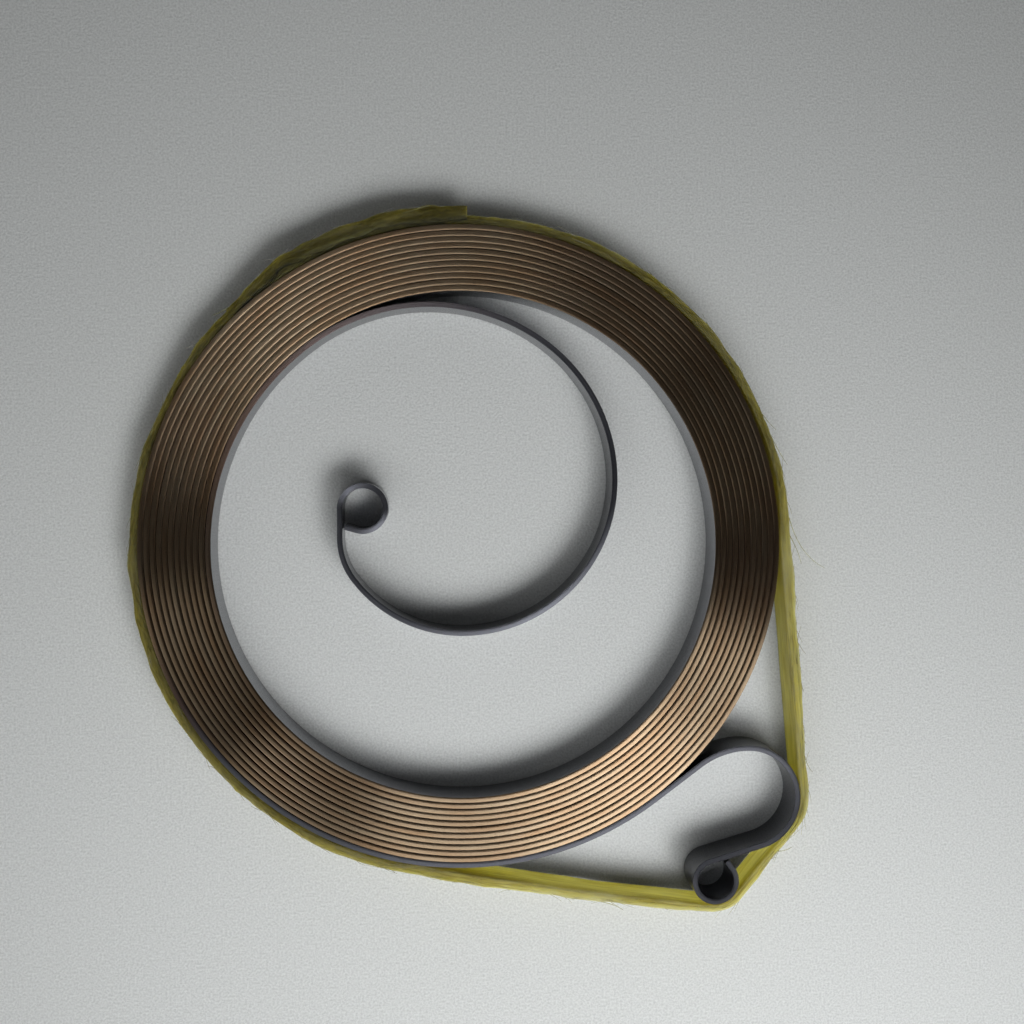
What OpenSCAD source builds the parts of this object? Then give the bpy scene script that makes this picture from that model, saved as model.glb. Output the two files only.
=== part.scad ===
// Recoil starter spring: a flat steel strip wound on edge into a tight spiral coil, with an
// inner arm that ends in a rolled eye, an outer tail that leaves in a loop and ends in a second
// rolled eye, and a film band that keeps the coil wound until it is fitted.
// The origin is the coil's axis on the plane that the strip stands on; +Z is up.

/* [Strip] */
// Thickness of the spring strip
strip_t = 0.55; // [0.4:0.05:0.7]
// Width of the strip, which stands on its edge
strip_w = 5; // [4:0.5:8]

/* [Coil] */
// Full turns that lie tight against one another
coil_turns = 11; // [6:1:14]
// Free gap between neighbouring turns
turn_gap = 0.05; // [0.03:0.01:0.15]
// Radius of the space inside the innermost turn
coil_bore_r = 25.2; // [23:0.2:30]

/* [Inner arm] */
// How much tighter the shoulder, which leaves the coil, bends than the innermost turn
arm_shoulder_step = 5.475; // [3:0.025:6]
// How much tighter the arm's crown bends than the shoulder
arm_crown_step = 0.5; // [0:0.05:2]
// How much tighter the arm's flank bends than the crown
arm_flank_step = 2.5; // [1:0.05:3.5]
// How much tighter the arm's side bends than the flank
arm_side_step = 1.75; // [1:0.05:3]
// How much tighter the arm's foot bends than the side
arm_foot_step = 1.65; // [0.5:0.05:2.5]
// Radius of the short bend before the inner eye
arm_neck_r = 6.8; // [5:0.1:9]
// Straight length between the short bend and the inner eye
arm_straight = 3; // [2:0.25:5]

/* [Eyes] */
// Bore of the inner eye
inner_eye_bore = 4; // [3:0.1:5]
// Bore of the outer eye
outer_eye_bore = 3.7; // [3:0.1:5]
// Gap that an eye leaves between the strip's end and its own shank
eye_mouth = 0.15; // [0.1:0.05:0.5]

/* [Outer tail] */
// Straight length where the tail leaves the coil
tail_straight = 5.7; // [4:0.1:9]
// Radius where the tail starts to turn
tail_lead_r = 8.2; // [6:0.2:12]
// Radius of the tail's big loop
tail_loop_r = 5.1; // [4:0.1:7]
// Straight length between the big loop and the outer eye
tail_neck = 5.55; // [4:0.05:8]

/* [Band] */
// Thickness of the film band
band_t = 0.75; // [0.4:0.05:1]
// How far the band's edges stay inside the strip's edges
band_inset = 0.1; // [0.05:0.05:1]
// Room between the band and the strip that it is drawn round
band_gap = 0.12; // [0.1:0.01:0.3]
// Bearing, seen from above, where the band's outer end lies on its own first layer
lap_end_deg = 88; // [60:1:100]
// Bearing where the outer layer comes down again behind the hidden inner end
lap_start_deg = 131; // [115:1:150]

/* [Hidden] */
$fn = 128;

// Lengths along the strip are set on this step, so that bends meet on the same face
grid = 0.005;
function snap(v) = round(v / grid) * grid;

// Travel directions whose parts are exact decimals
east = [1, 0];
north = [0, 1];
west = [-1, 0];
south = [0, -1];
coil_exit = [0.8, 0.6];
lead_slope = [0.8, 0.6];
shoulder_slope = [0.96, 0.28];
crown_slope = [0.8, -0.6];
foot_slope = [-0.6, 0.8];
inner_tip = [-0.96, 0.28];
neck_slope = [-0.96, -0.28];
outer_tip = [-0.6, 0.8];
to_left = 1;
to_right = -1;

// The strip's section and the spiral of half turns on two centres
half_t = snap(strip_t / 2);
half_pitch = snap((strip_t + turn_gap) / 2);
first_r = snap(coil_bore_r + strip_t / 2);
last_r = first_r + 2 * coil_turns * half_pitch;
lower_x = snap(half_pitch / 2);
upper_x = lower_x - half_pitch;

function left_of(d) = [-d[1], d[0]];
// Centre of a bend that starts at p in direction d
function bend_centre(p, d, r, side) = p + side * r * left_of(d);
// Where that bend ends, once it travels in direction e
function bend_end(p, d, e, r, side) = bend_centre(p, d, r, side) - side * r * left_of(e);
// Start point and direction of each bend [radius, end direction] of a run, and of what follows it
function bend_starts(p, d, side, bends, i = 0) =
    i == len(bends)
        ? [[p, d]]
        : concat(
            [[p, d]],
            bend_starts(bend_end(p, d, bends[i][1], bends[i][0], side), bends[i][1], side, bends, i + 1)
        );
function run_end(p, d, side, bends) = bend_starts(p, d, side, bends)[len(bends)][0];
// Length of an eye's straight end, which leaves the roll in direction e and stops a mouth's width
// from the shank that came in along direction d
function end_length(d, e, side, r) =
    let (closing = -side * (e * left_of(d)), along = d * e)
    snap((r * (1 - along) - half_t * (1 + abs(along)) - eye_mouth) / closing);

// The inner arm, followed from the coil inwards: the lead-in lies against the coil as one more
// part of its spiral, and each bend after that is tighter than the one before
coil_start = [lower_x - first_r, 0];
lead_r = first_r - half_pitch;
shoulder_r = snap(first_r - arm_shoulder_step);
crown_r = snap(shoulder_r - arm_crown_step);
flank_r = snap(crown_r - arm_flank_step);
side_r = snap(flank_r - arm_side_step);
foot_r = snap(side_r - arm_foot_step);
arm_bends = [
    [lead_r, lead_slope],
    [shoulder_r, shoulder_slope],
    [crown_r, crown_slope],
    [flank_r, south],
    [side_r, west],
    [foot_r, foot_slope],
    [snap(arm_neck_r), north]
];
arm_end = run_end(coil_start, north, to_right, arm_bends);

// The inner eye rolls the same way on, and its straight end stops short of the arm
inner_eye_r = snap(inner_eye_bore / 2 + half_t);
inner_eye_bends = [
    [inner_eye_r, east],
    [inner_eye_r, south],
    [inner_eye_r, west],
    [inner_eye_r, inner_tip]
];
inner_eye_start = arm_end + snap(arm_straight) * north;
inner_eye_end = run_end(inner_eye_start, north, to_right, inner_eye_bends);
inner_end_len = end_length(north, inner_tip, to_right, inner_eye_r);

// The last part turn of the coil, and the tail that leaves it straight
coil_last_bends = [
    [last_r, east],
    [last_r, coil_exit]
];
coil_last_start = [lower_x - last_r, 0];
tail_start = run_end(coil_last_start, south, to_left, coil_last_bends);
loop_start = tail_start + snap(tail_straight) * coil_exit;
loop_r = snap(tail_loop_r);
loop_bends = [
    [snap(tail_lead_r), east],
    [loop_r, south],
    [loop_r, neck_slope]
];
loop_centre = bend_centre(bend_starts(loop_start, coil_exit, to_right, loop_bends)[1][0], east, loop_r, to_right);
neck_start = run_end(loop_start, coil_exit, to_right, loop_bends);

// The outer eye rolls back the other way, and its end stops short of the neck
outer_eye_r = snap(outer_eye_bore / 2 + half_t);
outer_eye_bends = [
    [outer_eye_r, south],
    [outer_eye_r, east],
    [outer_eye_r, north],
    [outer_eye_r, outer_tip]
];
outer_eye_start = neck_start + snap(tail_neck) * neck_slope;
outer_eye_centre = bend_centre(outer_eye_start, neck_slope, outer_eye_r, to_left);
outer_eye_end = run_end(outer_eye_start, neck_slope, to_left, outer_eye_bends);
outer_end_len = end_length(neck_slope, outer_tip, to_left, outer_eye_r);

// The band is drawn round three circles: the coil, the big loop and the outer eye
band_w = strip_w - 2 * band_inset;
band_coil = [0, -half_pitch / 2];
band_coil_r = last_r - half_pitch / 2 + half_t + band_gap;
band_loop_r = loop_r + half_t + band_gap;
band_eye_r = outer_eye_r + half_t + band_gap;
// The straight runs lie this little inside the true tangents, so that they cut the circles cleanly
tangent_tuck = 0.01;

// Outward normal of the line that touches two circles and keeps both on its left
function tangent_normal(c1, r1, c2, r2) =
    let (span = c2 - c1, far = norm(span), lean = (r1 - r2) / far)
    (lean * span + sqrt(1 - lean * lean) * [span[1], -span[0]]) / far;
function tangent_points(c1, r1, c2, r2) =
    let (n = tangent_normal(c1, r1, c2, r2))
    [c1 + (r1 - tangent_tuck) * n, c2 + (r2 - tangent_tuck) * n];

function bearing(deg) = [cos(deg), sin(deg)];

// Strip section: thickness along X and width along Y, centred
module strip_section() {
    square([2 * half_t, strip_w], center = true);
}

// A half turn, from +X round to -X
module half_turn(r) {
    rotate_extrude(angle = 180) translate([r, strip_w / 2]) strip_section();
}

// One bend of up to a quarter turn, cut from a whole ring by a wedge
module strip_bend(p, d, e, r, side) {
    centre = bend_centre(p, d, r, side);
    wedge_reach = 2 * (r + strip_t);
    translate([centre[0], centre[1], 0]) {
        intersection() {
            rotate_extrude() translate([r, strip_w / 2]) strip_section();
            linear_extrude(height = strip_w) {
                polygon([[0, 0], -side * wedge_reach * left_of(d), -side * wedge_reach * left_of(e)]);
            }
        }
    }
}

// A run of bends that all turn the same way
module strip_run(p, d, side, bends) {
    starts = bend_starts(p, d, side, bends);
    for (i = [0 : len(bends) - 1]) {
        strip_bend(starts[i][0], starts[i][1], bends[i][1], bends[i][0], side);
    }
}

// A straight length from p in direction d
module strip_straight(p, d, length) {
    multmatrix([[d[0], -d[1], 0, p[0]], [d[1], d[0], 0, p[1]], [0, 0, 1, strip_w / 2]]) {
        rotate([90, 0, 90]) linear_extrude(height = length) strip_section();
    }
}

module coil() {
    for (turn = [0 : coil_turns - 1]) {
        translate([lower_x, 0, 0]) rotate([0, 0, 180]) half_turn(first_r + 2 * turn * half_pitch);
        translate([upper_x, 0, 0]) half_turn(first_r + (2 * turn + 1) * half_pitch);
    }
    strip_run(coil_last_start, south, to_left, coil_last_bends);
}

module inner_arm() {
    strip_run(coil_start, north, to_right, arm_bends);
    strip_straight(arm_end, north, snap(arm_straight));
    strip_run(inner_eye_start, north, to_right, inner_eye_bends);
    strip_straight(inner_eye_end, inner_tip, inner_end_len);
}

module outer_tail() {
    strip_straight(tail_start, coil_exit, snap(tail_straight));
    strip_run(loop_start, coil_exit, to_right, loop_bends);
    strip_straight(neck_start, neck_slope, snap(tail_neck));
    strip_run(outer_eye_start, neck_slope, to_left, outer_eye_bends);
    strip_straight(outer_eye_end, outer_tip, outer_end_len);
}

// The whole strip, one piece from eye to eye
module recoil_spring() {
    color("#8f7350") {
        union() {
            coil();
            inner_arm();
            outer_tail();
        }
    }
}

// Outline of the band's loop, grown by extra
module band_outline(extra) {
    coil_r = band_coil_r + extra;
    loop_r = band_loop_r + extra;
    eye_r = band_eye_r + extra;
    translate(band_coil) circle(coil_r);
    translate(loop_centre) circle(loop_r);
    translate(outer_eye_centre) circle(eye_r);
    polygon(
        concat(
            tangent_points(band_coil, coil_r, outer_eye_centre, eye_r),
            tangent_points(outer_eye_centre, eye_r, loop_centre, loop_r),
            tangent_points(loop_centre, loop_r, band_coil, coil_r)
        )
    );
}

// The outer end of the band, which climbs over the hidden end and stops at a square cut
module band_lap() {
    lap_r = band_coil_r + band_t;
    climb = band_t / cos(90 - (lap_start_deg - lap_end_deg));
    wedge_reach = 2 * lap_r;
    translate(band_coil) {
        intersection() {
            difference() {
                translate(climb * bearing(lap_start_deg - 90)) circle(lap_r);
                circle(lap_r - band_t / 2);
            }
            polygon([[0, 0], wedge_reach * bearing(lap_end_deg), wedge_reach * bearing(lap_start_deg)]);
        }
    }
}

// Film band, one turn drawn tight round the coil and the tail
module retaining_band() {
    color("#a8a02c") {
        translate([0, 0, band_inset]) {
            linear_extrude(height = band_w) {
                difference() {
                    band_outline(band_t);
                    band_outline(0);
                }
                band_lap();
            }
        }
    }
}

recoil_spring();
retaining_band();
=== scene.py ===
import bpy
import numpy as np
from mathutils import Matrix


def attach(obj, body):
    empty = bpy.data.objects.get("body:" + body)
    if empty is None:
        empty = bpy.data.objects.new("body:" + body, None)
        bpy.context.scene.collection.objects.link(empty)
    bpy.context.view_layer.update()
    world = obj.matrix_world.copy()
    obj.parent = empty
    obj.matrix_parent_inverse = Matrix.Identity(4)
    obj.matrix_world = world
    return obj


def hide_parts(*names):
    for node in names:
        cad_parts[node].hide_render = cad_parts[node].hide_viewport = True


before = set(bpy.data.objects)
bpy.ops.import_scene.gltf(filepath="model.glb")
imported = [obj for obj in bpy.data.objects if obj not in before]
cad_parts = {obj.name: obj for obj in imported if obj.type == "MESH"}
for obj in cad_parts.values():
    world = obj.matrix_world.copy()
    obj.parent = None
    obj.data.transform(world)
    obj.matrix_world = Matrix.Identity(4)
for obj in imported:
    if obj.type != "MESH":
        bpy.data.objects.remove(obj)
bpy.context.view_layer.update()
mm = 0.001            # lengths below are in millimetres, meshes are in metres
acute = np.degrees(np.arctan2(3, 4))      # bends turn by the angles of a 3-4-5 and a 7-24-25 triangle
slight = np.degrees(np.arctan2(7, 24))
print("frame loaded:", sorted(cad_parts))


def linear(hexColour):
    # an sRGB hex colour as the linear value that a socket holds
    c = np.array([int(hexColour[i:i + 2], 16) for i in (1, 3, 5)]) / 255
    c = np.where(c <= 0.04045, c / 12.92, ((c + 0.055) / 1.055) ** 2.4)
    return (*c, 1.0)


def put(tree, kind, inputs=None, **settings):
    # one node with its settings; an input is a value, or a socket to link from
    node = tree.nodes.new(kind)
    for name, value in settings.items():
        setattr(node, name, value)
    for name, value in (inputs or {}).items():
        if isinstance(value, bpy.types.NodeSocket):
            tree.links.new(value, node.inputs[name])
        else:
            node.inputs[name].default_value = value
    return node


def softNoise(shape, along, across, seed):
    # white noise blurred by a Gaussian of so many grid steps each way, then brought to mean 0 and deviation 1
    white = np.random.default_rng(seed).standard_normal(shape)
    fa = np.fft.fftfreq(shape[0])[:, None]
    fb = np.fft.fftfreq(shape[1])[None, :]
    keep = np.exp(-2 * np.pi ** 2 * ((fa * along) ** 2 + (fb * across) ** 2))
    soft = np.fft.ifft2(np.fft.fft2(white) * keep).real
    return (soft - soft.mean()) / soft.std()


def leftOf(angle):
    return np.stack([-np.sin(angle), np.cos(angle)], -1)


def walk(start, heading, moves, step):
    # follows a chain of bends (radius, degrees, left is positive) and straight runs (length, None);
    # a point of a bend is its centre less the radius times the left-hand direction there
    chord, fewest = 0.07, 3          # longest step on a bend as a share of its radius, fewest steps of a move
    here, angle = np.array(start, float), np.radians(heading)
    points, angles = [], []
    for size, turn in moves:
        length = size if turn is None else size * abs(np.radians(turn))
        fine = step if turn is None else min(step, size * chord)
        t = np.linspace(0, 1, max(int(np.ceil(length / fine)), fewest) + 1)
        if turn is None:
            a = np.full_like(t, angle)
            p = here + np.outer(t * size, (np.cos(angle), np.sin(angle)))
        else:
            a = angle + np.radians(turn) * t
            toCentre = np.sign(turn) * size
            p = here + toCentre * (leftOf(angle) - leftOf(a))
        points.append(p[:-1])
        angles.append(a[:-1])
        here, angle = p[-1], a[-1]
    return np.vstack([*points, here]), np.append(np.concatenate(angles), angle)


def pathLength(points):
    return np.append(0, np.cumsum(np.linalg.norm(np.diff(points, axis=0), axis=1)))


def tubeMesh(name, grid, uvAcross, uvAlong, normals=None, **values):
    # a closed skin over a grid of rings (ring, point of the ring, xyz) in mm, with a flat face on each end;
    # UV holds the distance across and along in mm, values are kept as point attributes
    rings, around = grid.shape[:2]
    index = np.arange(rings * around).reshape(rings, around)
    onward = np.roll(index, -1, axis=1)
    quads = np.stack([index[:-1], index[1:], onward[1:], onward[:-1]], -1).reshape(-1, 4)
    ends = [index[0].tolist(), index[-1][::-1].tolist()]
    mesh = bpy.data.meshes.new(name)
    mesh.from_pydata((grid.reshape(-1, 3) * mm).tolist(), [], quads.tolist() + ends)
    mesh.polygons.foreach_set("use_smooth", np.ones(len(mesh.polygons), bool))
    nextAcross = np.append(uvAcross[1:], uvAcross[-1] + (uvAcross[1] - uvAcross[0]))
    u = np.broadcast_to(np.stack([uvAcross, uvAcross, nextAcross, nextAcross], -1), (rings - 1, around, 4))
    v = np.stack([uvAlong[:-1], uvAlong[1:], uvAlong[1:], uvAlong[:-1]], -1)[:, None].repeat(around, 1)
    endUv = np.stack([np.append(uvAcross, uvAcross[::-1]), np.repeat([uvAlong[0], uvAlong[-1]], around)], -1)
    uv = np.vstack([np.stack([u, v], -1).reshape(-1, 2), endUv])
    mesh.uv_layers.new(name="lay").data.foreach_set("uv", uv.ravel())
    for key, value in values.items():
        spread = np.broadcast_to(value, (rings, around)).astype(np.float32).ravel()
        mesh.attributes.new(key, "FLOAT", "POINT").data.foreach_set("value", spread)
    if normals is not None:
        ahead = grid[1].mean(0) - grid[0].mean(0)
        behind = grid[-1].mean(0) - grid[-2].mean(0)
        flat = np.vstack([np.tile(-ahead / np.linalg.norm(ahead), (around, 1)),
                          np.tile(behind / np.linalg.norm(behind), (around, 1))])
        mesh.normals_split_custom_set(np.vstack([normals.reshape(-1, 3)[quads.ravel()], flat]).tolist())
    piece = bpy.data.objects.new(name, mesh)
    bpy.context.scene.collection.objects.link(piece)
    return piece


# the spring: one strip, wound on edge, from the inner eye's end to the outer eye's end
strip = dict(thick=0.55, width=5.0, turns=11, gap=0.05, boreRadius=25.2,
             shy=0.004,                      # each face stands back by this much, so that the grooves show
             # the slit edge from its outer side: a small corner, a faint crown that leans outwards,
             # a roll down towards the inner face and a small corner there; lean and tilt are in degrees
             cornerRadius=0.05, crownLean=6, crownTilt=4, rollRadius=0.42, rollTilt=24, innerRadius=0.03,
             # bends as radius and degrees, straight runs as length and None, from the coil to the strip's end
             armBends=[(25.175, -90 + acute), (20.0, slight - acute), (19.5, -slight - acute),
                       (17.0, -90 + acute), (15.25, -90), (13.6, -90 + acute), (6.8, -acute), (3.0, None),
                       (2.275, -270 - slight), (1.185, None)],
             tailBends=[(5.7, None), (8.2, -acute), (5.1, -180 + slight), (5.55, None),
                        (2.125, 270 + acute - slight), (0.915, None)],
             step=0.95, sway=0.010, lift=0.03, liftSway=0.02,    # turns lie a little aside and a little high
             # heat colour, from 0 slate blue to 1 bronze, and below 0 painted shade down to -1 that darkens
             # the strip towards the tail's end; by mm of strip: onwards from the coil's start, and backwards
             # from its end
             armHeat=([-50, 15], [0, 1]),
             tailHeatAndShade=([-30, -20, -10, 0, 48, 62], [-1, -0.85, -0.55, -0.45, 0, 1]))
pitch = strip["thick"] + strip["gap"]


def stripPath():
    # the coil is made of half turns about two centres, each half a pitch larger than the one before
    first = strip["boreRadius"] + strip["thick"] / 2
    halves = [(first + pitch / 2 * k, 180) for k in range(2 * strip["turns"])]
    last = (first + pitch * strip["turns"], 90 + acute)
    start = (pitch / 4 - first, 0)
    outPoints, outAngles = walk(start, -90, [*halves, last, *strip["tailBends"]], strip["step"])
    inPoints, inAngles = walk(start, 90, strip["armBends"], strip["step"])
    points = np.vstack([inPoints[:0:-1], outPoints])
    angles = np.append(inAngles[:0:-1] + np.pi, outAngles)
    coilEnd = sum(np.pi * r for r, _ in halves) + last[0] * np.radians(last[1])
    return points, angles, pathLength(inPoints)[-1], coilEnd


def stripEdge():
    # half of the section, as a chain of arcs that meet smoothly; a point moves by the radius times the
    # change of the normal's cosine and sine, and the crown takes the width that the other arcs leave
    crown, tilt = 90 - strip["crownLean"], strip["crownTilt"]
    turn = np.radians([0, crown - tilt, crown + tilt, 90 + strip["rollTilt"], 180])
    radius = np.array([strip["cornerRadius"], 0, strip["rollRadius"], strip["innerRadius"]])
    spread = -np.diff(np.cos(turn))
    half = strip["thick"] / 2 - strip["shy"]
    radius[1] = (2 * half - radius @ spread) / spread[1]
    steps = [3, 2, 4, 3]
    arcs = [np.linspace(a, b, n + 1)[1:] for a, b, n in zip(turn[:-1], turn[1:], steps)]
    angle = np.concatenate([[0], *arcs])
    each = np.repeat(radius, steps)
    x = half + np.append(0, np.cumsum(each * np.diff(np.cos(angle))))
    z = np.append(0, np.cumsum(each * np.diff(np.sin(angle))))
    return x, z - z.max(), angle


points, angles, armLength, coilLength = stripPath()
along = pathLength(points)
edgeX, edgeZ, edgeAngle = stripEdge()
sectionX = np.append(edgeX, -edgeX)
sectionZ = np.append(strip["width"] + edgeZ, -edgeZ)
sectionAngle = np.append(edgeAngle, edgeAngle + np.pi)
# rim is 1 on the slit edges and 0 on the faces, roll is 1 on the rolled part of an edge
rimGain, slack = 1.6, 0.1
sectionRim = np.clip(np.abs(np.sin(sectionAngle)) * rimGain, 0, 1)
leanIn = np.degrees(sectionAngle) % 180 - 90
sectionRoll = ((leanIn > slack) & (leanIn < strip["rollTilt"] + slack)) * 1.0
rightOf = -leftOf(angles)                              # away from the coil's middle on its way out
noiseSteps = 4096
even = np.linspace(0, along[-1], noiseSteps)
swayNoise = softNoise((noiseSteps, 1), along=18, across=0, seed=11)[:, 0]
liftNoise = softNoise((noiseSteps, 1), along=60, across=0, seed=12)[:, 0]
sway = np.interp(along, even, swayNoise) * strip["sway"]
lift = np.clip(np.interp(along, even, liftNoise) * strip["liftSway"] + strip["lift"], 0, None)
flatPlace = points[:, None] + rightOf[:, None] * (sectionX[None, :, None] + sway[:, None, None])
height = sectionZ[None] + lift[:, None]
stripGrid = np.concatenate([flatPlace, height[..., None]], -1)
stripNormals = np.concatenate([rightOf[:, None] * np.cos(sectionAngle)[None, :, None],
                               np.broadcast_to(np.sin(sectionAngle)[None, :, None], height.shape + (1,))], -1)
fromArm = along - armLength
# heat colour, with painted shade below 0 towards the tail's end
temper = np.minimum(np.interp(fromArm, *strip["armHeat"]),
                    np.interp(coilLength - fromArm, *strip["tailHeatAndShade"]))
across = pathLength(np.stack([sectionX, sectionZ], -1))
# faces between turns have the edges' oxide too; only the arm, the tail and the coil's two walls are bare
firstTurn = 2 * np.pi * strip["boreRadius"]
lastTurn = firstTurn + 2 * np.pi * (strip["turns"] + 1) * pitch
outerHidden = (fromArm > 0) & (fromArm < coilLength - lastTurn)
innerHidden = (fromArm > firstTurn) & (fromArm < coilLength)
covered = np.where(sectionX[None] > 0, outerHidden[:, None], innerHidden[:, None])
rim = np.maximum(sectionRim[None], covered)
spring = tubeMesh("spring_strip", stripGrid, across, along, stripNormals,
                  temper=temper[:, None], rim=rim, roll=sectionRoll[None])
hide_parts("recoil_spring")
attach(spring, "root")
print("spring strip:", round(along[-1]), "mm long,", len(spring.data.polygons), "faces")


# the band: split film drawn round the coil and the tail, its outer end lapped over the inner one
filmClear = 0.01
coilOuter = strip["boreRadius"] + strip["thick"] + pitch * strip["turns"] + filmClear
band = dict(upper=((-pitch / 4, 0), coilOuter - pitch / 2),     # centre and radius of what it goes round:
            lower=((pitch / 4, 0), coilOuter),                  # the coil's two outer half turns,
            eye=((25.57, -34.19), 2.55),                        # the outer eye
            loop=((28.875, -25.7), 5.48),                       # and the tail's loop
            lapFrom=89.2, lapTo=135,                            # bearings of the outer and the inner end
            bottom=0.12, bottomSway=0.05, top=4.82, topSway=0.09, lowest=0.02, taper=7.0, thinEnd=0.1,
            # mm along the band, thickness of the bundle, distance from the steel, and how far it is packed
            # against steel or against itself, which also sets how much painted shade its colour takes
            runs=[(0, 1.05, 0, 1), (20, 1.0, 0, 1), (31, 0.88, 0, 1), (82, 0.85, 0, 0.85),
                  (96, 0.95, 0.05, 0.5), (104, 1.0, 0.25, 0), (116, 1.0, 0.35, 0), (123, 0.82, 0.1, 0),
                  (127, 0.7, 0, 0), (130, 0.68, 0, 0), (138, 0.7, 0, 0), (142, 0.8, 0, 0),
                  (150, 0.95, 0, 0), (156, 1.05, 0, 0), (160, 1.12, 0, 0), (168, 1.12, 0.1, 0.1),
                  (171, 1.0, 0.25, 0.4), (176, 0.78, 0.4, 0.75), (195, 0.9, 0.2, 0.85),
                  (218, 0.85, 0, 1), (243, 0.85, 0, 1)],
            thickSway=0.06, lapSink=0.02, lapFull=0.3, lapOver=0.4, lapRag=0.12, lapLeast=0.1, lapRise=0.14,
            # free runs: a thin wall, as a share of the thickness, under a curled lip that starts and is full
            # at these shares of the height
            wall=0.38, lipFrom=0.72, lipFull=0.86,
            ridge=0.035, lump=0.05, lapLump=0.08, innerSwell=0.3, wallSwell=1.5, endSwell=0.1,
            edgeFray=0.045, frayFrom=0.9, frayAcross=(0.3, 0.8),
            tear=0.12, tearFrom=2.1, tearMost=1.2, tearLift=0.5,
            step=0.17, fewest=8, sidePoints=14, capPoints=9, capShare=0.03, meanThick=0.8)


def tangentAngle(a, b):
    # bearing of the outer tangent's normal where the way round goes from circle a to circle b
    (ca, ra), (cb, rb) = a, b
    d = np.subtract(cb, ca)
    return np.degrees(np.arctan2(d[1], d[0]) - np.arccos((ra - rb) / np.hypot(*d)))


def bandPath():
    # counter-clockwise from the outer end: coil, eye, loop, and the coil again under the lap;
    # gives places, the bearing of the outward side, and mm along the band
    upper, lower, eye, loop = band["upper"], band["lower"], band["eye"], band["loop"]
    leaves = [180, tangentAngle(lower, eye), tangentAngle(eye, loop), tangentAngle(loop, upper)]
    half, toEye, toLoop, toCoil = np.unwrap(leaves, period=360)
    arcs = [(upper, band["lapFrom"], half), (lower, half, toEye), (eye, toEye, toLoop),
            (loop, toLoop, toCoil), (upper, toCoil, band["lapTo"] + 360)]
    places, bearings = [], []
    for (centre, radius), a0, a1 in arcs:
        a = np.linspace(a0, a1, max(int(np.radians(a1 - a0) * radius / band["step"]), band["fewest"]))
        places.append(np.array(centre) - radius * leftOf(np.radians(a + 90)))
        bearings.append(a)
    places = np.vstack(places)
    s = pathLength(places)
    even = np.arange(0, s[-1], band["step"])
    x, y, bearing = [np.interp(even, s, column) for column in (*places.T, np.concatenate(bearings))]
    return np.stack([x, y], -1), bearing, even


def bandSection():
    # a flat loop with rounded ends: up the outer side, over the upper cap, down the inner side, under the
    # lower cap; gives shares of the thickness and of the height, and the outward direction in both
    capShare, ones = band["capShare"], np.ones(band["sidePoints"])
    side = np.linspace(capShare, 1 - capShare, band["sidePoints"])
    cap = np.linspace(-0.5, 0.5, band["capPoints"] + 2)[1:-1]
    bulge = np.sqrt(1 - (2 * cap) ** 2)
    a = np.concatenate([ones, 0.5 - cap, 0 * ones, 0.5 + cap])
    b = np.concatenate([side, 1 - capShare + capShare * bulge, side[::-1], capShare - capShare * bulge])
    na = np.concatenate([ones, -2 * cap, -ones, 2 * cap])
    nb = np.concatenate([0 * ones, bulge, 0 * ones, -bulge])
    return a, b, na, nb


def alongNoise(run, seed):
    # one soft random value for each station of the band, much the same over so many stations
    return softNoise((count, 1), run, 0, seed)


bandPlaces, bearing, bandAlong = bandPath()
bandOut = -leftOf(np.radians(bearing + 90))
share, rise, outward, upward = bandSection()
count = len(bandAlong)
stations, *columns = np.array(band["runs"]).T
thick, standOff, packed = [np.interp(bandAlong, stations, column) for column in columns]
toEnd = bandAlong[-1] - bandAlong
thick = thick * (1 + band["thickSway"] * alongNoise(run=16, seed=21)[:, 0])
thick = np.interp(toEnd, [0, band["taper"]], [band["thinEnd"], 1]) * thick
# under the lap the outer layer lies on whatever thickness the inner layer has at that bearing
inner = bearing > 360 + band["lapFrom"] / 2
lapLift = np.interp(bearing, bearing[inner] - 360, thick[inner] - band["lapSink"], left=0, right=0)
lapLift = lapLift * (bearing < band["lapTo"])
# it hangs over the inner layer by a ragged edge: its inner side moves in and its outer side stays
inLap = np.clip(lapLift / band["lapFull"], 0, 1)
hang = np.clip(band["lapOver"] + band["lapRag"] * alongNoise(run=4, seed=28)[:, 0], band["lapLeast"], None)
hang = inLap * hang
lapLift, thick = lapLift - hang, thick + hang
ridges = softNoise((count, len(share)), along=45, across=0.9, seed=22) * band["ridge"]
lumps = softNoise((count, len(share)), along=7, across=2.5, seed=33) * band["lump"]
lapLumps = softNoise((count, len(share)), along=4, across=1.2, seed=29) * band["lapLump"] * inLap[:, None]
bySide = np.where(outward < -0.5, band["innerSwell"], 1)          # the side against the steel swells less
byEnd = np.clip(toEnd / band["taper"], band["endSwell"], 1)
swell = (ridges + lumps + lapLumps) * bySide * byEnd[:, None]
edgeNow = alongNoise(run=3, seed=24) * band["edgeFray"]
tears = np.clip(alongNoise(run=2.5, seed=35) - band["tearFrom"], 0, band["tearMost"]) * band["tear"]
# the fray is on the outer part of the upper edge
topOuter = np.interp(rise, [band["frayFrom"], 1], [0, 1]) * np.interp(share, band["frayAcross"], [0, 1])
lip = np.interp(rise, [band["lipFrom"], band["lipFull"]], [0, 1])
body = 1 - (1 - band["wall"]) * (1 - packed)[:, None] * (1 - lip)[None]
swellOut = swell * outward[None] * np.minimum(body * band["wallSwell"], 1)
sideways = (lapLift + standOff)[:, None] + share[None] * thick[:, None] * body + swellOut
sideways += (edgeNow + tears) * topOuter[None]
topNow = band["top"] + band["topSway"] * alongNoise(run=10, seed=26) + band["lapRise"] * inLap[:, None]
bottomNow = band["bottom"] + band["bottomSway"] * np.abs(alongNoise(run=10, seed=27))
bandZ = bottomNow + rise[None] * (topNow - bottomNow) + swell * upward[None]
bandZ = np.clip(bandZ + band["tearLift"] * tears * topOuter[None], band["lowest"], None)
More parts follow.
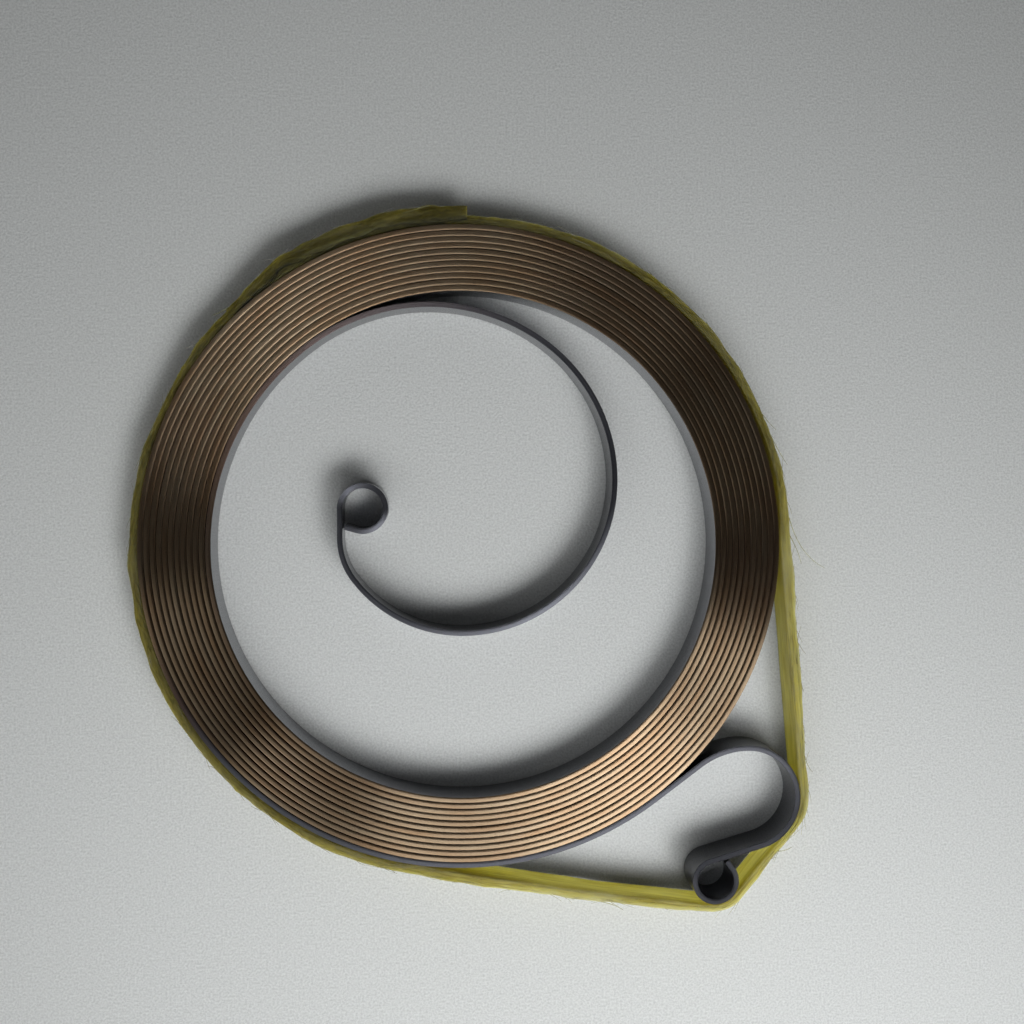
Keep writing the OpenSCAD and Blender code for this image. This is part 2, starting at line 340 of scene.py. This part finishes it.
bandFlat = bandPlaces[:, None] + bandOut[:, None] * sideways[..., None]
bandGrid = np.concatenate([bandFlat, bandZ[..., None]], -1)
bandAcross = pathLength(np.stack([share * band["meanThick"], rise * band["top"]], -1))
film = tubeMesh("film_band", bandGrid, bandAcross, bandAlong, packed=packed[:, None])
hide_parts("retaining_band")
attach(film, "root")
print("film band:", round(bandAlong[-1]), "mm long,", len(film.data.polygons), "faces")


# hairs of film: a few long ones and many short ones that have split off the band's upper edge,
# and slivers that still lie along its upper side
fibre = dict(short=90, lying=260, seed=31, stations=9,
             radius=0.03, longRadius=0.042, taper=0.6, sink=0.02, lowest=0.05, curlPower=1.5,
             # long hairs: x and y near the root, length, degrees of opening and of curl, way along the band
             long=[(32.9, 2.9, 6.8, 16, 48, -1), (32.2, 0.9, 3.2, 26, -20, -1),
                   (31.4, 11.2, 3.4, 10, 8, -1), (30.6, 13.6, 2.2, 16, 12, -1),
                   (35.0, -21.6, 2.0, 12, 30, -1), (32.3, -31.6, 1.6, 50, -40, 1),
                   (14.0, -34.6, 2.6, 8, 20, 1), (-23.5, 24.0, 1.8, 14, 15, 1)],
             # painted shade on the long hairs, and below on the short ones; the same value gives them tufts
             # in place of streaks
             longSlope=-0.25, longShade=1.0,
             # ranges of the short hairs, then of the lying slivers
             shortLength=(0.4, 1.5), shortOpening=(4, 26), shortCurl=(-30, 30), shortSlope=(-0.4, 0.1),
             shortShade=0.4,
             lyingLength=(0.8, 3.0), lyingOpening=(-9, 9), lyingCurl=(-12, 12), lyingSlope=(-0.02, 0.05),
             clearStart=20, clearEnd=60)     # stations at the band's ends without short hairs and slivers


def fibreMesh(name, roots, headings, lengths, curls, slopes, girths, packedHere):
    # each hair is a four-sided taper: its heading turns by the curl on the way, and its height changes by
    # the slope, which fades out towards the tip
    n, m = len(roots), fibre["stations"]
    t = np.linspace(0, 1, m)
    heading = headings[:, None] + curls[:, None] * t[None] ** fibre["curlPower"]
    ahead = np.stack([np.cos(heading), np.sin(heading), slopes[:, None] * (1 - t[None])], -1)
    stride = lengths[:, None, None] / (m - 1)
    spine = roots[:, None] + np.concatenate([np.zeros((n, 1, 3)), np.cumsum(ahead[:, :-1] * stride, 1)], 1)
    spine[..., 2] = np.clip(spine[..., 2], fibre["lowest"], None)
    aside = np.concatenate([leftOf(heading), np.zeros((n, m, 1))], -1)
    above = np.broadcast_to([0.0, 0.0, 1.0], aside.shape)
    girth = (girths[:, None] * (1 - fibre["taper"] * t))[..., None]
    rings = np.stack([spine + girth * d for d in (aside, above, -aside, -above)], 2)
    index = np.arange(n * m * 4).reshape(n, m, 4)
    nextPoint = np.roll(index, -1, axis=2)
    sides = np.stack([index[:, :-1], nextPoint[:, :-1], nextPoint[:, 1:], index[:, 1:]], -1).reshape(-1, 4)
    faces = np.vstack([sides, index[:, 0, ::-1], index[:, -1]])
    mesh = bpy.data.meshes.new(name)
    mesh.from_pydata((rings.reshape(-1, 3) * mm).tolist(), [], faces.tolist())
    # a hair takes its streaks by its place in X
    uv = np.tile(rings.reshape(-1, 3)[faces.ravel(), :1], 2)
    mesh.uv_layers.new(name="lay").data.foreach_set("uv", uv.ravel())
    mesh.attributes.new("packed", "FLOAT", "POINT").data.foreach_set("value", np.repeat(packedHere, m * 4))
    piece = bpy.data.objects.new(name, mesh)
    bpy.context.scene.collection.objects.link(piece)
    return piece


rng = np.random.default_rng(fibre["seed"])
rootX, rootY, longLength, longOpening, longCurl, longWay = np.array(fibre["long"]).T
long, short, lying = len(rootX), fibre["short"], fibre["lying"]
topEdge = band["sidePoints"] - 1          # last point on the outer side, just below the upper cap
fromRoots = bandGrid[None, :, topEdge, :2] - np.stack([rootX, rootY], -1)[:, None]
rootRow = np.append(np.linalg.norm(fromRoots, axis=2).argmin(1),
                    rng.integers(fibre["clearStart"], count - fibre["clearEnd"], short + lying))
rootColumn = np.append(np.full(long + short, topEdge),
                       rng.integers(topEdge + 1, topEdge + band["capPoints"], lying))
roots = bandGrid[rootRow, rootColumn] - [0, 0, fibre["sink"]]
way = np.append(longWay, rng.choice([-1, 1], short + lying))
openings = np.radians(np.concatenate([longOpening, rng.uniform(*fibre["shortOpening"], short),
                                      rng.uniform(*fibre["lyingOpening"], lying)]))
# along the band, either way, and then opened outwards
headings = np.radians(bearing[rootRow]) + way * (np.pi / 2 - openings)
curls = -way * np.radians(np.concatenate([longCurl, rng.uniform(*fibre["shortCurl"], short),
                                          rng.uniform(*fibre["lyingCurl"], lying)]))
lengths = np.concatenate([longLength, rng.uniform(*fibre["shortLength"], short),
                          rng.uniform(*fibre["lyingLength"], lying)])
slopes = np.concatenate([np.full(long, fibre["longSlope"]), rng.uniform(*fibre["shortSlope"], short),
                         rng.uniform(*fibre["lyingSlope"], lying)])
girths = np.repeat([fibre["longRadius"], fibre["radius"]], [long, short + lying])
# the hairs' painted shade; the lying slivers take the band's
packedHere = np.append(np.repeat([fibre["longShade"], fibre["shortShade"]], [long, short]),
                       packed[rootRow[-lying:]])
hairs = fibreMesh("film_hairs", roots, headings, lengths, curls, slopes, girths, packedHere)
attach(hairs, "root")
print("film hairs:", len(roots))


# hardened spring steel, cold rolled along its length and tempered in air: rolling lines draw the light out
# across the strip, the slit edges have a straw to bronze oxide, and the two ends are slate blue
# the darker face colour is the faces' grey with painted shade, used on the arm and the tail
steel = dict(face="#94959a", shadedFace="#7c7d82", straw="#94836d", bronze="#8a7259",
             plum="#6e5d57", slate="#767880", speck="#42331f",
             lineWidth=0.05, lineLength=7.0,        # coarser than real rolling lines, so that they show
             patchWidth=2.0, patchLength=9.0, speckSize=0.11, speckStretch=0.7,
             # tones multiply the colour: rolling lines, the roll of an edge, and painted shade on the tail's
             # end
             darkLine=0.82, brightLine=1.1, rollTone=0.72, tailEdgeShade=0.2, tailFaceShade=0.65,
             smooth=(0.26, 0.34), dull=(0.4, 0.52), faceRough=0.18, lineDepth=0.01)
stuff = bpy.data.materials.new("spring_steel_cold_rolled_tempered")
stuff.use_nodes = True
tree = stuff.node_tree
tree.nodes.clear()
lay = put(tree, "ShaderNodeUVMap", uv_map="lay").outputs["UV"]
temperNow = put(tree, "ShaderNodeAttribute", attribute_name="temper").outputs["Fac"]
rimNow = put(tree, "ShaderNodeAttribute", attribute_name="rim").outputs["Fac"]
rollNow = put(tree, "ShaderNodeAttribute", attribute_name="roll").outputs["Fac"]
lineMap = put(tree, "ShaderNodeMapping",
              {"Vector": lay, "Scale": (1 / steel["lineWidth"], 1 / steel["lineLength"], 1)}).outputs[0]
lines = put(tree, "ShaderNodeTexNoise", {"Vector": lineMap, "Scale": 1.0, "Detail": 3.0},
            noise_dimensions="2D").outputs["Fac"]
patchMap = put(tree, "ShaderNodeMapping",
               {"Vector": lay, "Scale": (1 / steel["patchWidth"], 1 / steel["patchLength"], 1)}).outputs[0]
patches = put(tree, "ShaderNodeTexNoise", {"Vector": patchMap, "Scale": 1.0, "Detail": 5.0},
              noise_dimensions="2D").outputs["Fac"]
patchShare = put(tree, "ShaderNodeMapRange", {"Value": patches, "From Min": 0.3, "From Max": 0.7}).outputs[0]
speckScale = (1 / steel["speckSize"], steel["speckStretch"] / steel["speckSize"], 1)
speckMap = put(tree, "ShaderNodeMapping", {"Vector": lay, "Scale": speckScale}).outputs[0]
specks = put(tree, "ShaderNodeTexNoise", {"Vector": speckMap, "Scale": 1.0, "Detail": 2.0},
             noise_dimensions="2D").outputs["Fac"]
speckShare = put(tree, "ShaderNodeMapRange", {"Value": specks, "From Min": 0.55, "From Max": 0.8,
                                              "To Max": 0.3}).outputs[0]
# heat colour from slate blue through plum to straw and bronze on the edges; grey on the faces, darker with
# painted shade on the arm and the tail
slateToPlum = put(tree, "ShaderNodeMapRange", {"Value": temperNow, "From Max": 0.5}).outputs[0]
plumToWarm = put(tree, "ShaderNodeMapRange", {"Value": temperNow, "From Min": 0.5}).outputs[0]
warm = put(tree, "ShaderNodeMix", {0: patchShare, 6: linear(steel["straw"]), 7: linear(steel["bronze"])},
           data_type="RGBA").outputs[2]
cool = put(tree, "ShaderNodeMix", {0: slateToPlum, 6: linear(steel["slate"]), 7: linear(steel["plum"])},
           data_type="RGBA").outputs[2]
edgeColour = put(tree, "ShaderNodeMix", {0: plumToWarm, 6: cool, 7: warm}, data_type="RGBA").outputs[2]
faceColour = put(tree, "ShaderNodeMix", {0: plumToWarm, 6: linear(steel["shadedFace"]),
                                         7: linear(steel["face"])}, data_type="RGBA").outputs[2]
bare = put(tree, "ShaderNodeMix", {0: rimNow, 6: faceColour, 7: edgeColour}, data_type="RGBA").outputs[2]
dusty = put(tree, "ShaderNodeMix", {0: speckShare, 6: bare, 7: linear(steel["speck"])},
            data_type="RGBA").outputs[2]
lineTone = put(tree, "ShaderNodeMapRange", {"Value": lines, "From Min": 0.25, "From Max": 0.75,
                                            "To Min": steel["darkLine"],
                                            "To Max": steel["brightLine"]}).outputs[0]
rollTone = put(tree, "ShaderNodeMapRange", {"Value": rollNow, "To Min": 1.0,
                                            "To Max": steel["rollTone"]}).outputs[0]
# painted shade: towards the tail's end the edges and the faces are darkened, the edges more
tailEdgePaintedShade = put(tree, "ShaderNodeMapRange", {"Value": temperNow, "From Min": -1.0, "From Max": 0.0,
                                            "To Min": steel["tailEdgeShade"], "To Max": 1.0}).outputs[0]
tailFacePaintedShade = put(tree, "ShaderNodeMapRange", {"Value": temperNow, "From Min": -1.0, "From Max": 0.0,
                                            "To Min": steel["tailFaceShade"], "To Max": 1.0}).outputs[0]
tailPaintedShade = put(tree, "ShaderNodeMix", {0: rimNow, 2: tailFacePaintedShade, 3: tailEdgePaintedShade}).outputs[0]
tone = put(tree, "ShaderNodeMath", {0: lineTone, 1: rollTone}, operation="MULTIPLY").outputs[0]
tone = put(tree, "ShaderNodeMath", {0: tone, 1: tailPaintedShade}, operation="MULTIPLY").outputs[0]
colour = put(tree, "ShaderNodeMix", {0: 1.0, 6: dusty, 7: tone}, data_type="RGBA",
             blend_type="MULTIPLY").outputs[2]
smooth = put(tree, "ShaderNodeMapRange", {"Value": lines, "To Min": steel["smooth"][0],
                                          "To Max": steel["smooth"][1]}).outputs[0]
dull = put(tree, "ShaderNodeMapRange", {"Value": lines, "To Min": steel["dull"][0],
                                        "To Max": steel["dull"][1]}).outputs[0]
edgeRough = put(tree, "ShaderNodeMix", {0: plumToWarm, 2: dull, 3: smooth}).outputs[0]
rough = put(tree, "ShaderNodeMix", {0: rimNow, 2: steel["faceRough"], 3: edgeRough}).outputs[0]
bump = put(tree, "ShaderNodeBump", {"Height": lines, "Strength": 0.1,
                                    "Distance": steel["lineDepth"] * mm}).outputs[0]
acrossStrip = put(tree, "ShaderNodeTangent", direction_type="UV_MAP", uv_map="lay").outputs[0]
shader = put(tree, "ShaderNodeBsdfPrincipled", {"Base Color": colour, "Roughness": rough, "Normal": bump,
                                                "Tangent": acrossStrip, "Metallic": 1.0, "Anisotropic": 0.95})
put(tree, "ShaderNodeOutputMaterial", {"Surface": shader.outputs[0]})
spring.data.materials.append(stuff)


# polypropylene film, drawn and split into fibres: olive yellow, waxy, letting light in, streaked along its
# length where it runs free and tufted where it is packed; where packed, its colour is darkened with painted
# shade
filmLook = dict(base="#b5ac6a", deep="#827b45", pale="#b6b187", packed="#94927c",
                streakWidth=0.2, streakLength=6.0, tuftWidth=0.25, tuftLength=1.3, tuftTurn=0.05,
                blotchWidth=2.86, blotchLength=7.0, strandDepth=0.06, lightReach=4.5)
stuff = bpy.data.materials.new("polypropylene_film_split")
stuff.use_nodes = True
tree = stuff.node_tree
tree.nodes.clear()
lay = put(tree, "ShaderNodeUVMap", uv_map="lay").outputs["UV"]
packedNow = put(tree, "ShaderNodeAttribute", attribute_name="packed").outputs["Fac"]
streakScale = (1 / filmLook["streakWidth"], 1 / filmLook["streakLength"], 1)
streakMap = put(tree, "ShaderNodeMapping", {"Vector": lay, "Scale": streakScale}).outputs[0]
streaks = put(tree, "ShaderNodeTexNoise", {"Vector": streakMap, "Scale": 1.0, "Detail": 4.0,
                                           "Distortion": 0.6}, noise_dimensions="2D").outputs["Fac"]
tuftScale = (1 / filmLook["tuftWidth"], 1 / filmLook["tuftLength"], 1)
tuftMap = put(tree, "ShaderNodeMapping", {"Vector": lay, "Scale": tuftScale,
                                          "Rotation": (0, 0, filmLook["tuftTurn"])}).outputs[0]
tufts = put(tree, "ShaderNodeTexNoise", {"Vector": tuftMap, "Scale": 1.0, "Detail": 4.0, "Distortion": 1.0},
            noise_dimensions="2D").outputs["Fac"]
blotchScale = (1 / filmLook["blotchWidth"], 1 / filmLook["blotchLength"], 1)
blotchMap = put(tree, "ShaderNodeMapping", {"Vector": lay, "Scale": blotchScale}).outputs[0]
blotches = put(tree, "ShaderNodeTexNoise", {"Vector": blotchMap, "Scale": 1.0, "Detail": 3.0},
               noise_dimensions="2D").outputs["Fac"]
strands = put(tree, "ShaderNodeMix", {0: packedNow, 2: streaks, 3: tufts}).outputs[0]
strandShare = put(tree, "ShaderNodeMapRange", {"Value": strands, "From Min": 0.35,
                                               "From Max": 0.65}).outputs[0]
blotchShare = put(tree, "ShaderNodeMapRange", {"Value": blotches, "From Min": 0.4, "From Max": 0.75,
                                               "To Max": 0.6}).outputs[0]
streaked = put(tree, "ShaderNodeMix", {0: strandShare, 6: linear(filmLook["deep"]),
                                       7: linear(filmLook["base"])}, data_type="RGBA").outputs[2]
blotched = put(tree, "ShaderNodeMix", {0: blotchShare, 6: streaked, 7: linear(filmLook["pale"])},
               data_type="RGBA").outputs[2]
# painted shade: the colour is darkened where the film is packed against steel or against itself
packedTone = put(tree, "ShaderNodeMix", {0: packedNow, 6: (1, 1, 1, 1), 7: linear(filmLook["packed"])},
                 data_type="RGBA").outputs[2]
colour = put(tree, "ShaderNodeMix", {0: 1.0, 6: blotched, 7: packedTone}, data_type="RGBA",
             blend_type="MULTIPLY").outputs[2]
bump = put(tree, "ShaderNodeBump", {"Height": strands, "Strength": 0.6,
                                    "Distance": filmLook["strandDepth"] * mm}).outputs[0]
shader = put(tree, "ShaderNodeBsdfPrincipled",
             {"Base Color": colour, "Normal": bump, "Roughness": 0.6, "IOR": 1.49, "Specular IOR Level": 0.12,
              "Subsurface Weight": 1.0, "Subsurface Radius": (1.0, 0.92, 0.42),
              "Subsurface Scale": filmLook["lightReach"] * mm})
put(tree, "ShaderNodeOutputMaterial", {"Surface": shader.outputs[0]})
film.data.materials.append(stuff)
hairs.data.materials.append(stuff)
print("materials done")


# the floor: a pale painted board with a fine orange peel; well outside the picture it glows a little towards
# the eye, and so runs into the pale skyline instead of going dark
floorLook = dict(colour="#f3f6f5", shade="#d8dbda", grain=0.22, peel=0.1, below=0.02,
                 size=4.0, glowFrom=0.09, glowTo=0.5,                   # these are in metres
                 glow=0.3, edgeGlow=0.3)
mesh = bpy.data.meshes.new("floor")
half = floorLook["size"] / 2
mesh.from_pydata([(-half, -half, 0), (half, -half, 0), (half, half, 0), (-half, half, 0)], [], [(0, 1, 2, 3)])
floor = bpy.data.objects.new("floor", mesh)
floor.location.z = -floorLook["below"] * mm
bpy.context.scene.collection.objects.link(floor)
stuff = bpy.data.materials.new("painted_board")
stuff.use_nodes = True
tree = stuff.node_tree
tree.nodes.clear()
place = put(tree, "ShaderNodeTexCoord").outputs["Object"]
grain = put(tree, "ShaderNodeTexNoise", {"Vector": place, "Scale": 1 / (floorLook["grain"] * mm),
                                         "Detail": 3.0}).outputs["Fac"]
grainShare = put(tree, "ShaderNodeMapRange", {"Value": grain, "From Min": 0.3, "From Max": 0.7}).outputs[0]
colour = put(tree, "ShaderNodeMix", {0: grainShare, 6: linear(floorLook["shade"]),
                                     7: linear(floorLook["colour"])}, data_type="RGBA").outputs[2]
bump = put(tree, "ShaderNodeBump", {"Height": grain, "Strength": 0.8,
                                    "Distance": floorLook["peel"] * mm}).outputs[0]
away = put(tree, "ShaderNodeVectorMath", {0: place}, operation="LENGTH").outputs["Value"]
nearGlow = put(tree, "ShaderNodeMapRange", {"Value": away, "From Min": floorLook["glowFrom"],
                                            "From Max": floorLook["glowTo"], "To Max": floorLook["glow"]},
               interpolation_type="SMOOTHSTEP").outputs[0]
edgeGlow = put(tree, "ShaderNodeMapRange", {"Value": away, "From Min": floorLook["glowTo"], "From Max": half,
                                            "To Max": floorLook["edgeGlow"]}).outputs[0]
farGlow = put(tree, "ShaderNodeMath", {0: nearGlow, 1: edgeGlow}, operation="ADD").outputs[0]
ray = put(tree, "ShaderNodeLightPath").outputs
seen = put(tree, "ShaderNodeMath", {0: ray["Is Camera Ray"], 1: ray["Is Glossy Ray"]},
           operation="MAXIMUM").outputs[0]
seen = put(tree, "ShaderNodeMath", {0: seen, 1: ray["Is Transmission Ray"]}, operation="MAXIMUM").outputs[0]
farGlow = put(tree, "ShaderNodeMath", {0: farGlow, 1: seen}, operation="MULTIPLY").outputs[0]
shader = put(tree, "ShaderNodeBsdfPrincipled",
             {"Base Color": colour, "Roughness": 0.6, "Normal": bump,
              "Emission Color": (1, 1, 1, 1), "Emission Strength": farGlow})
put(tree, "ShaderNodeOutputMaterial", {"Surface": shader.outputs[0]})
mesh.materials.append(stuff)
print("floor done")


# the light: a long soft box in five panes on the near side, brightest right of its middle; each pane has a
# narrow beam, so that the floor darkens away from it, and gain brings a narrow beam back to a plain level
light = dict(climb=50, distance=380, high=240, aim=(26, -72, 0), spread=46, gain=0.082,
             # panes: bearing, width, glow
             panes=[(213, 160, 1.0), (242, 110, 1.5), (271.7, 120, 3.4), (300.2, 128, 7.3), (326, 98, 3.7)])
climb = np.radians(light["climb"])
for paneBearing, width, glow in light["panes"]:
    turn = np.radians(paneBearing)
    toward = np.array([np.cos(turn) * np.cos(climb), np.sin(turn) * np.cos(climb), np.sin(climb)])
    spot = toward * light["distance"]
    back = spot - light["aim"]
    back /= np.linalg.norm(back)
    aside = np.cross([0, 0, 1], back)
    aside /= np.linalg.norm(aside)
    lamp = bpy.data.lights.new("pane", "AREA")
    lamp.shape = "RECTANGLE"
    lamp.size, lamp.size_y = width * mm, light["high"] * mm
    lamp.spread = np.radians(light["spread"])
    lamp.energy = glow * light["gain"] * np.pi * lamp.size * lamp.size_y
    pane = bpy.data.objects.new("pane", lamp)
    pose = np.eye(4)
    pose[:3, :3] = np.stack([aside, np.cross(back, aside), back], -1)
    pose[:3, 3] = spot * mm
    pane.matrix_world = Matrix(pose.tolist())
    pane.visible_camera = False
    bpy.context.scene.collection.objects.link(pane)


# the room: pale at the skyline, dim overhead, its walls brighter on the side of wallBearing
roomLook = dict(skyline=0.85, wall=0.3, overhead=0.01, wallBearing=225, nearSide=1.5, farSide=0.45)
room = bpy.data.worlds.new("room")
room.use_nodes = True
tree = room.node_tree
tree.nodes.clear()
toward = put(tree, "ShaderNodeTexCoord").outputs["Generated"]
up = put(tree, "ShaderNodeSeparateXYZ", {"Vector": toward}).outputs["Z"]
wallTurn = np.radians(roomLook["wallBearing"])
nearness = put(tree, "ShaderNodeVectorMath", {0: toward, 1: (np.cos(wallTurn), np.sin(wallTurn), 0)},
               operation="DOT_PRODUCT").outputs["Value"]
side = put(tree, "ShaderNodeMapRange", {"Value": nearness, "From Min": -0.8, "From Max": 0.8,
                                        "To Min": roomLook["farSide"],
                                        "To Max": roomLook["nearSide"]}).outputs[0]
above = put(tree, "ShaderNodeMapRange", {"Value": up, "From Min": 0.2, "From Max": 0.8,
                                         "To Min": roomLook["wall"], "To Max": roomLook["overhead"]},
            interpolation_type="SMOOTHSTEP").outputs[0]
walls = put(tree, "ShaderNodeMath", {0: above, 1: side}, operation="MULTIPLY").outputs[0]
low = put(tree, "ShaderNodeMapRange", {"Value": up, "From Min": 0.05, "From Max": 0.3, "To Min": 1.0,
                                       "To Max": 0.0}, interpolation_type="SMOOTHSTEP").outputs[0]
level = put(tree, "ShaderNodeMix", {0: low, 2: walls, 3: roomLook["skyline"]}).outputs[0]
sky = put(tree, "ShaderNodeBackground", {"Strength": level})
put(tree, "ShaderNodeOutputWorld", {"Surface": sky.outputs[0]})
bpy.context.scene.world = room
print("light done:", len(light["panes"]), "panes")


# the camera looks almost straight down; focal length and frame are in pixels, and the plumb point is the
# pixel that lies right below it
view = dict(focal=1385, frame=1024, plumb=(423, 464), spot=(-4.11, 8.30, 143.08), sensor=36,
            near=0.005, far=20)                                         # these two are in metres
lens = bpy.data.cameras.new("camera")
lens.sensor_width = view["sensor"]
lens.lens = view["sensor"] * view["focal"] / view["frame"]
lens.clip_start, lens.clip_end = view["near"], view["far"]
mid = view["frame"] / 2
zenith = np.array([(mid - view["plumb"][0]) / view["focal"], (view["plumb"][1] - mid) / view["focal"], 1.0])
zenith /= np.linalg.norm(zenith)
eastward = np.array([1.0, 0, 0]) - zenith[0] * zenith
eastward /= np.linalg.norm(eastward)
pose = np.eye(4)
pose[:3, :3] = np.stack([eastward, np.cross(zenith, eastward), zenith])
pose[:3, 3] = np.array(view["spot"]) * mm
camera = bpy.data.objects.new("camera", lens)
camera.matrix_world = Matrix(pose.tolist())
bpy.context.scene.collection.objects.link(camera)
bpy.context.scene.camera = camera
bpy.context.scene.view_settings.view_transform = "Standard"
